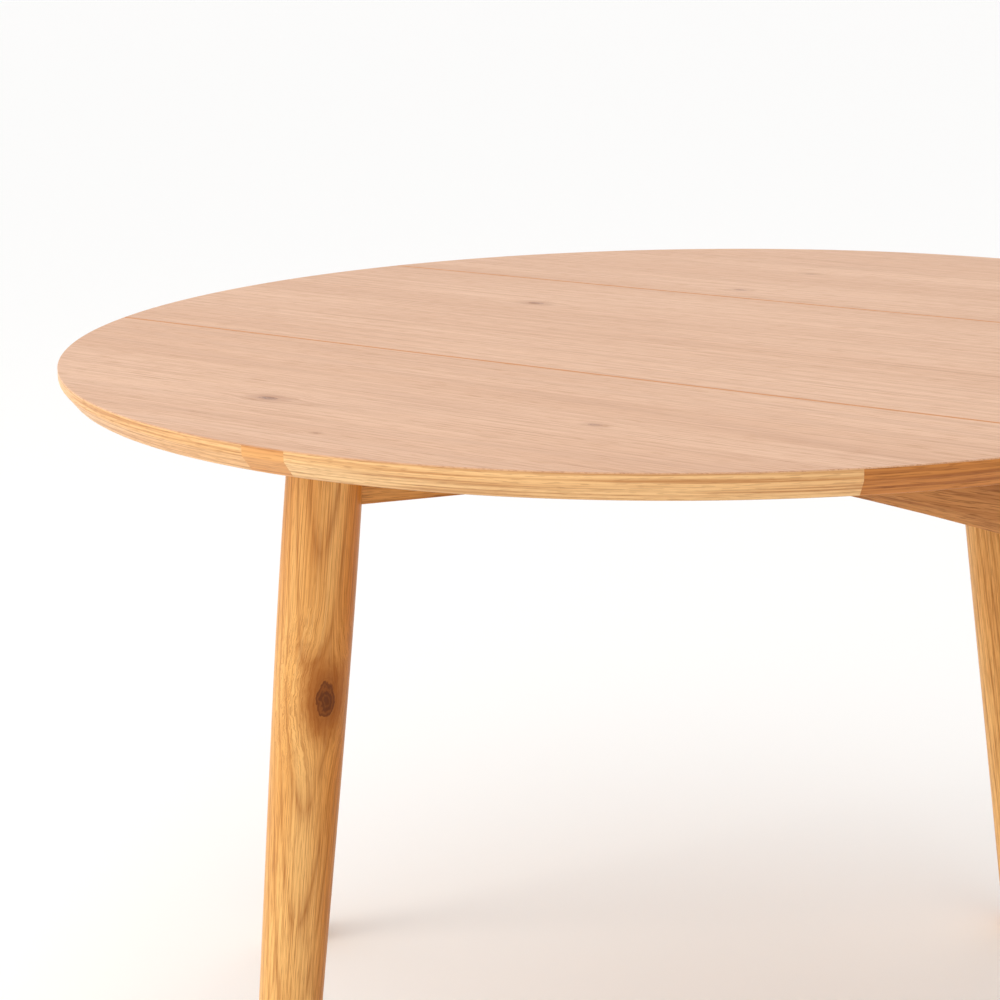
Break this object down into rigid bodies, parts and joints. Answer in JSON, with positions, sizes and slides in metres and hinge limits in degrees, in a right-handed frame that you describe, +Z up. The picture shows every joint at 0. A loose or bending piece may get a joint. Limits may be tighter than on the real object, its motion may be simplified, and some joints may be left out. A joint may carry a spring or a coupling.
{
  "type": "gateleg table",
  "caption": "Round oak drop-leaf table with an arched under-frame, round splayed legs and two swinging gate legs that hold up its hinged leaves.",
  "frame": {"origin": "on the floor under the middle of the round top", "axes": "+Z up, X along the two seams of the top, the front leaf on the -Y side"},
  "size_m": [1.2, 1.2, 0.75],
  "materials": {
    "veneered_top": "pale oak veneer, satin lacquer",
    "oak_lipping": "solid oak, satin lacquer",
    "top_core": "engineered core, oak backing",
    "steel": "zinc plated",
    "hinge_steel": "zinc plated",
    "bracket_steel": "zinc plated",
    "nylon": "moulded nylon",
    "felt": "felt",
    "plain_timber": "planed timber",
    "leg_oak": "solid oak, satin lacquer",
    "rail_oak": "solid oak, satin lacquer"
  },
  "bodies": {
    "frame": {"back_gate_bracket": "bracket_steel", "back_gate_bracket_screws": "steel", "back_gate_pin": "steel", "back_gate_washers": "nylon", "back_hinge_board_plates": "hinge_steel", "back_hinge_board_screws": "steel", "back_hinge_pins": "steel", "back_rail": "rail_oak", "centre_board_core": "top_core", "centre_board_lipping_left": "oak_lipping", "centre_board_lipping_right": "oak_lipping", "centre_board_veneer": "veneered_top", "front_gate_bracket": "bracket_steel", "front_gate_bracket_screws": "steel", "front_gate_pin": "steel", "front_gate_washers": "nylon", "front_hinge_board_plates": "hinge_steel", "front_hinge_board_screws": "steel", "front_hinge_pins": "steel", "front_rail": "rail_oak", "left_end_rail": "rail_oak", "left_leg": "leg_oak", "left_leg_block": "plain_timber", "left_leg_glide": "nylon", "leg_hanger_bolts": "steel", "rail_dowels": "plain_timber", "right_end_rail": "rail_oak", "right_leg": "leg_oak", "right_leg_block": "plain_timber", "right_leg_glide": "nylon", "top_screws": "steel"},
    "front_leaf": {"front_gate_stop": "plain_timber", "front_hinge_leaf_plates": "hinge_steel", "front_hinge_leaf_screws": "steel", "front_leaf_core": "top_core", "front_leaf_lipping_key": "oak_lipping", "front_leaf_lipping_left": "oak_lipping", "front_leaf_lipping_middle_left": "oak_lipping", "front_leaf_lipping_middle_right": "oak_lipping", "front_leaf_lipping_right": "oak_lipping", "front_leaf_veneer": "veneered_top"},
    "back_leaf": {"back_gate_stop": "plain_timber", "back_hinge_leaf_plates": "hinge_steel", "back_hinge_leaf_screws": "steel", "back_leaf_core": "top_core", "back_leaf_lipping_key": "oak_lipping", "back_leaf_lipping_left": "oak_lipping", "back_leaf_lipping_middle_left": "oak_lipping", "back_leaf_lipping_middle_right": "oak_lipping", "back_leaf_lipping_right": "oak_lipping", "back_leaf_veneer": "veneered_top"},
    "front_gate": {"front_gate_arm": "rail_oak", "front_gate_glide": "nylon", "front_gate_leg": "leg_oak", "front_gate_pad": "felt"},
    "back_gate": {"back_gate_arm": "rail_oak", "back_gate_glide": "nylon", "back_gate_leg": "leg_oak", "back_gate_pad": "felt"}
  },
  "joints": [
    {"name": "front_gate_swing", "type": "hinge", "parent": "frame", "child": "front_gate", "pos_m": [0.116, -0.1734, 0.69], "axis": [0, 0, -1], "range_deg": [0, 57]},
    {"name": "front_leaf_lift", "type": "hinge", "parent": "frame", "child": "front_leaf", "pos_m": [0, -0.213, 0.7222], "axis": [-1, 0, 0], "range_deg": [0, 2]},
    {"name": "back_gate_swing", "type": "hinge", "parent": "frame", "child": "back_gate", "pos_m": [-0.116, 0.1734, 0.69], "axis": [0, 0, -1], "range_deg": [0, 57]},
    {"name": "back_leaf_lift", "type": "hinge", "parent": "frame", "child": "back_leaf", "pos_m": [0, 0.213, 0.7222], "axis": [1, 0, 0], "range_deg": [0, 2]}
  ]
}
